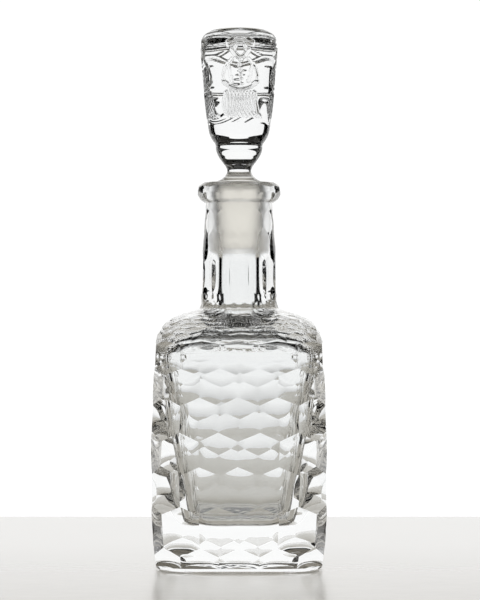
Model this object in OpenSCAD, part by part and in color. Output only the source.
// Square cut crystal decanter with a round, figured stopper.
// Two pieces of lead crystal: the bottle, and the stopper ground to sit in its neck.
// Origin: centre of the underside, +Z up, the front face towards -Y. Millimetres.

/* [Bottle body] */
// Half the width of the body across its flats, at its widest
body_half = 47.85; // [44:0.05:52]
// Corner radius of the body, seen from above
corner_r = 20; // [16:1:24]
// Facets round the body in each row
body_facets = 16; // [16]
// How deep the middle of a body facet is hollowed
hollow = 0.8; // [0.4:0.1:1.2]
// Half the width of the inside at the shoulder
cavity_half = 38.6; // [34:0.1:39]
// Half the width of the inside at the floor
cavity_floor_half = 27.6; // [22:0.1:32]
// Height of the inside's floor above the table
cavity_floor_z = 24.5; // [18:0.5:30]
// Radius of the polished hollow under the base
punt_r = 27; // [20:1:30]
// Depth of that hollow
punt_depth = 1.6; // [0.5:0.1:3]

/* [Neck and lip] */
// Facets round the neck in each row
neck_facets = 12; // [12]
// Radius of the neck channel under the stopper
channel_r = 9.5; // [8:0.1:10]
// Outer radius of the lip
lip_r = 23.65; // [22:0.05:26]
// Height of the top of the lip
lip_top = 210.2; // [208:0.1:214]
// Height of the lip's ring
lip_h = 11; // [9:0.5:13]

/* [Stopper] */
// Radius of the ground plug at the top of the lip
plug_r = 12.5; // [11.5:0.1:13.5]
// Length of the ground plug below the top of the lip
plug_len = 37; // [30:1:42]
// Radius lost by the plug for each millimetre of its length
plug_taper = 0.05; // [0.03:0.01:0.06]
// Radial gap between the plug and its seat
seat_gap = 0.06; // [0.04:0.01:0.1]
// Radius of the stopper at its shoulder, near the top
stopper_r = 21.2; // [19:0.1:23]
// Height of the top of the stopper
stopper_top = 295.2; // [290:0.1:300]
// Figures in relief round the stopper
figures = 4; // [4]

/* [Hidden] */
crystal = [0.90, 0.93, 0.94, 0.45];
round_fn = 96;
bow = 0.3; // how far each side of a rounded square stands out at its middle
lip_bottom = lip_top - lip_h;
plug_bottom = lip_top - plug_len;
plug_bottom_r = plug_r - plug_len * plug_taper;

// Each level of the cut body: height, rise of its points, half width, corner radius.
body_levels = [
    [0, 0, body_half - 5.2, corner_r - 2],
    [2.6, 0, body_half - 2.4, corner_r - 1],
    [11.1, 2.4, body_half - 1.2, corner_r],
    [33.3, 2.2, body_half, corner_r],
    [54.4, 2.3, body_half, corner_r],
    [72.6, 2.4, body_half, corner_r],
    [91.5, 2.3, body_half - 0.85, corner_r],
    [107.2, 1.9, body_half - 1.6, corner_r],
    [123.5, 1.6, body_half - 2.1, corner_r],
    [130.2, 1.1, body_half - 5.2, corner_r + 2],
    [134.6, 0.8, body_half - 9.4, corner_r + 4],
    [137, 0.6, body_half - 14.6, corner_r + 6],
    [139, 0.4, body_half - 20.4, corner_r + 5],
    [141.2, 0, body_half - 24.8, body_half - 25.2]
];

// Each level of the neck: height, rise of its points, radius.
neck_levels = [
    [134, 0, 19.4],
    [141.5, 0.6, 20.9],
    [148.5, 1.6, 20.9],
    [170, 3, 20.6],
    [183, 3, 19.2],
    [193.5, 2, 18.5],
    [lip_bottom + 1, 0, 18.4]
];

// Each level of the inside: height, half width, corner radius.
cavity_levels = [
    [cavity_floor_z, cavity_floor_half - 6, 8],
    [cavity_floor_z + 1.2, cavity_floor_half - 2.6, 8],
    [cavity_floor_z + 4, cavity_floor_half - 0.5, 8],
    [cavity_floor_z + 8, cavity_floor_half + 0.3, 8],
    [70, cavity_floor_half + 0.58 * (cavity_half - cavity_floor_half), 8],
    [114, cavity_half, 8],
    [119, cavity_half - 1.2, 9],
    [124, cavity_half - 4.8, 11],
    [127.5, cavity_half - 10.6, 14],
    [130, cavity_half - 19.6, 15],
    [133, channel_r + 3.8, channel_r + 3.4],
    [136.5, channel_r + 1.3, channel_r + 0.9],
    [140, channel_r - 1.2, channel_r - 1.6]
];

// A point on a rounded square whose sides bow out a little, as cut and polished faces do.
// Turn runs from 0 to 4, and 0 is the middle of the front.
function rounded_square(turn, half, r) =
    let (
        side = round(turn),
        straight = half - bow - r,
        run = (turn - side) * (2 * straight + PI * r / 2),
        over = max(abs(run) - straight, 0) / r * 180 / PI,
        x = sign(run) * (min(abs(run), straight) + r * sin(over)),
        y = -(straight + r * cos(over) + bow * cos(180 * (turn - side))),
        c = cos(90 * side),
        s = sin(90 * side)
    ) [x * c - y * s, x * s + y * c];

function arc_points(cx, cz, r, from, to, steps) =
    [for (i = [0 : steps]) let (a = from + (to - from) * i / steps) [cx + r * cos(a), cz + r * sin(a)]];

// A closed solid cut all over with hollow six-sided facets, in staggered rows.
// Levels are [height, rise, half width, corner radius], from the bottom up.
module honeycomb(levels, facets, depth) {
    columns = 2 * facets;
    rows = len(levels) - 1;
    rim = [
        for (k = [0 : rows], j = [0 : columns - 1])
            let (
                level = levels[k],
                rise = ((j + k) % 2 == 0 ? 1 : -1) * level[1],
                xy = rounded_square(4 * j / columns, level[2], level[3])
            ) [xy[0], xy[1], level[0] + rise]
    ];
    function at(k, j) = k * columns + (j + columns) % columns;
    cells = [for (k = [0 : rows - 1], j = [0 : columns - 1]) if ((j + k) % 2 == 1) [k, j]];
    function ring(cell) = let (k = cell[0], j = cell[1])
        [at(k, j - 1), at(k, j), at(k, j + 1), at(k + 1, j + 1), at(k + 1, j), at(k + 1, j - 1)];
    centres = [
        for (cell = cells)
            let (
                p = [for (i = ring(cell)) rim[i]],
                middle = (p[0] + p[1] + p[2] + p[3] + p[4] + p[5]) / 6,
                out = cross(p[3] - p[0], p[5] - p[2])
            ) middle - depth(cell[0]) * out / norm(out)
    ];
    faces = [
        for (n = [0 : len(cells) - 1], i = [0 : 5])
            let (corners = ring(cells[n]))
            [corners[(i + 1) % 6], corners[i], len(rim) + n]
    ];
    floor_face = [for (j = [0 : columns - 1]) j];
    top_face = [for (j = [columns - 1 : -1 : 0]) rows * columns + j];
    polyhedron(concat(rim, centres), concat(faces, [floor_face, top_face]), convexity = 6);
}

// A closed solid lofted through rounded squares, [height, half width, corner radius].
module loft(levels, columns) {
    points = [
        for (level = levels, j = [0 : columns - 1])
            let (xy = rounded_square(4 * j / columns, level[1], level[2])) [xy[0], xy[1], level[0]]
    ];
    sides = [
        for (k = [0 : len(levels) - 2], j = [0 : columns - 1], half = [0, 1])
            let (
                a = k * columns + j,
                b = k * columns + (j + 1) % columns
            ) half == 0 ? [b, a, a + columns] : [b, a + columns, b + columns]
    ];
    floor_face = [for (j = [0 : columns - 1]) j];
    top_face = [for (j = [columns - 1 : -1 : 0]) (len(levels) - 1) * columns + j];
    polyhedron(points, concat(sides, [floor_face, top_face]), convexity = 4);
}

module lip() {
    bead = lip_h / 2;
    rotate_extrude($fn = round_fn)
        polygon(concat(
            [[plug_r - 3, lip_bottom - 1], [17.6, lip_bottom - 1]],
            arc_points(lip_r - bead, lip_bottom + bead, bead, -70, 78, 14),
            [[plug_r + 2, lip_top], [plug_r - 3, lip_top]]
        ));
}

module bottle() {
    color(crystal)
        difference() {
            union() {
                honeycomb(body_levels, body_facets, function (row) row < 1 ? 0 : row < 8 ? hollow : 0.25);
                honeycomb([for (l = neck_levels) [l[0], l[1], l[2] + bow, l[2]]], neck_facets,
                    function (row) row == 2 ? 0.6 : 0.25);
                lip();
            }
            loft(cavity_levels, 40);
            rotate_extrude($fn = round_fn)
                polygon([
                    [0, 134],
                    [channel_r, 134],
                    [channel_r, plug_bottom - 2.4],
                    [plug_bottom_r + seat_gap - 0.05, plug_bottom - 1],
                    [plug_r + seat_gap, lip_top],
                    [plug_r + seat_gap, lip_top + 1],
                    [0, lip_top + 1]
                ]);
            punt();
        }
}

// The shallow polished hollow that keeps the middle of the base off the table.
module punt() {
    r = (punt_r * punt_r + punt_depth * punt_depth) / (2 * punt_depth);
    translate([0, 0, punt_depth - r]) sphere(r, $fn = round_fn);
}

module stopper_blank() {
    rotate_extrude($fn = round_fn)
        polygon(concat(
            [[0, plug_bottom], [plug_bottom_r - 0.8, plug_bottom], [plug_bottom_r + 0.04, plug_bottom + 0.8],
                [plug_r, lip_top], [plug_r - 0.6, lip_top + 0.9]],
            arc_points(9.9, 216, 3, 240, 120, 8),
            arc_points(5.6, 228, 7.4, -48, 12, 8),
            [[13.5, 231.2], [15.1, 233.4]],
            arc_points(12.4, 238.4, 4.5, -24, 0, 3),
            [[18.3, 248.4], [19.3, 258], [20.2, 268.8], [stopper_r - 0.2, 280]],
            arc_points(stopper_r - 5.2, stopper_top - 8.2, 5.2, 0, 75, 8),
            [[13.5, stopper_top - 1.1], [6.8, stopper_top - 0.25], [0, stopper_top]]
        ));
}

// Radius of the stopper's tapered face at a height.
function face_r(z) = 18.3 + 0.075 * (z - 248.4);

// Puts a shape on the stopper's face, so many degrees round from the figure's middle line.
module on_face(turn, z, sink) {
    rotate([0, 0, turn]) translate([0, sink - face_r(z), z]) children();
}

// A plain costumed figure in low relief: hat, head, coat, sleeves, belt and pleated skirt.
module figure() {
    on_face(0, 286, 0.2) rotate([90, 0, 0]) cylinder(h = 1.5, r = 5.4, center = true, $fn = 48);
    on_face(0, 280.4, 2.7) sphere(3.6, $fn = 48);
    on_face(0, 271.5, 14.1) sphere(15, $fn = 64);
    for (side = [-1, 1])
        on_face(side * 24, 270, 1.1) rotate([0, side * 14, 0]) {
            cylinder(h = 11, r = 2.1, center = true, $fn = 32);
            for (end = [-1, 1]) translate([0, 0, end * 5.5]) sphere(2.1, $fn = 32);
        }
    on_face(0, 263.6, 0) translate([0, face_r(263.6), 0])
        rotate_extrude(angle = 44, start = -112, $fn = round_fn)
            translate([face_r(263.6) - 0.3, 0]) circle(1.1, $fn = 24);
    for (i = [-3 : 3])
        on_face(i * 6.2, 254.8, 0.8) rotate([4.3, -i * 2, 0])
            cylinder(h = 14, r1 = 1.5, r2 = 1.1, center = true, $fn = 24);
}

module stopper() {
    color(crystal) {
        rotate([0, 0, 45]) stopper_blank();
        for (i = [0 : figures - 1])
            rotate([0, 0, 360 * i / figures]) figure();
    }
}

bottle();
stopper();
